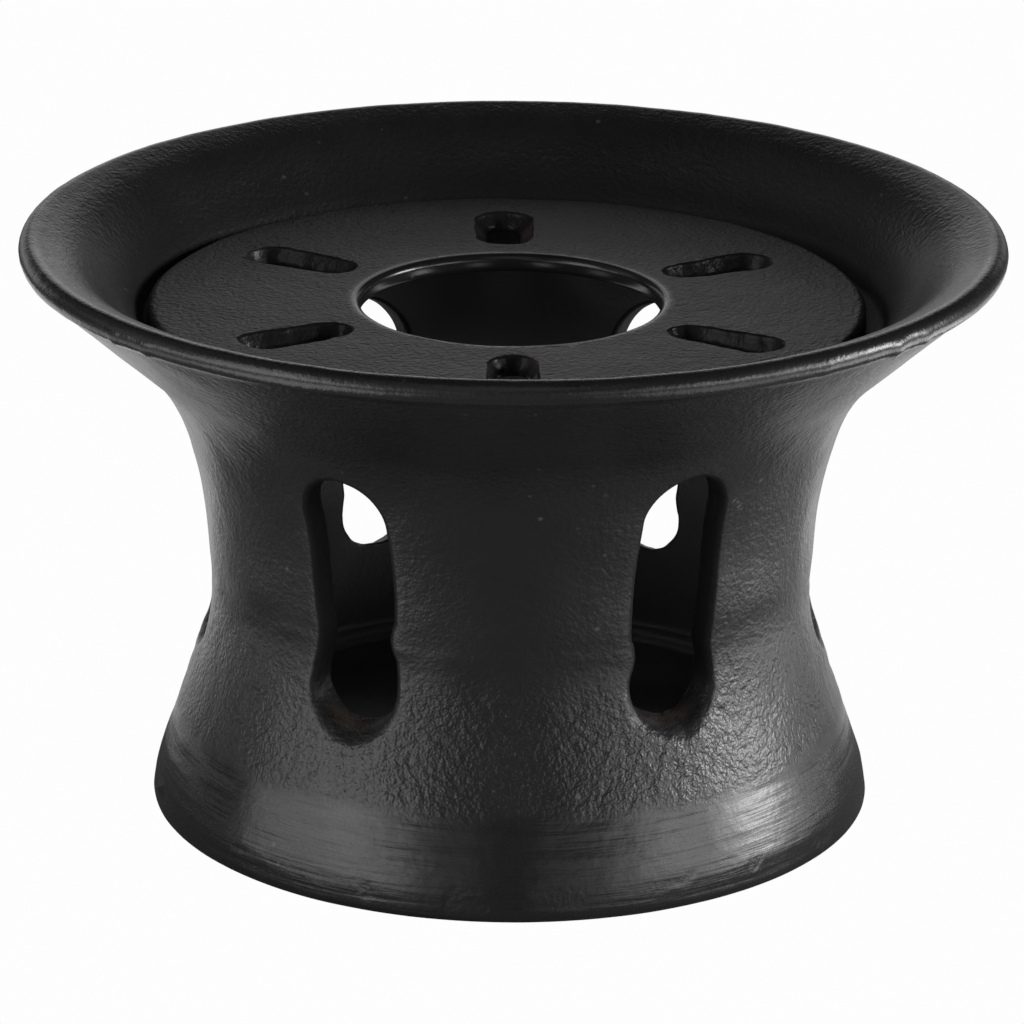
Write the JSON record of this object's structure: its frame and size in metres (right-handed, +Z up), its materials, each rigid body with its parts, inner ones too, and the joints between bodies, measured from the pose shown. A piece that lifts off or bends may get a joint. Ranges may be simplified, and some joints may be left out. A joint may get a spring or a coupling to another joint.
{
  "type": "tabletop cooking stove",
  "caption": "Waisted cast-iron table stove with a flared bowl, round-ended air slots in its wall and a loose slotted plate that lies on a ledge in the bowl.",
  "frame": {"origin": "centre of the foot ring, on the surface that the stove stands on", "axes": "+Z up along the axis of the bowl; -Y is the front, midway between two air slots"},
  "size_m": [0.15, 0.15, 0.0907],
  "materials": {
    "painted_iron_body": "satin black enamel paint over a sand-cast surface, ground smoother near the foot",
    "painted_iron_plate": "satin black enamel paint over a sand-cast surface, glossier on the worn edge of the hole"
  },
  "bodies": {
    "stove": {"stove_body": "painted_iron_body"},
    "plate": {"slotted_plate": "painted_iron_plate"}
  },
  "joints": [
    {"name": "plate_lift", "type": "slide", "parent": "stove", "child": "plate", "axis": [0, 0, 1], "range_m": [0, 0.05]}
  ]
}
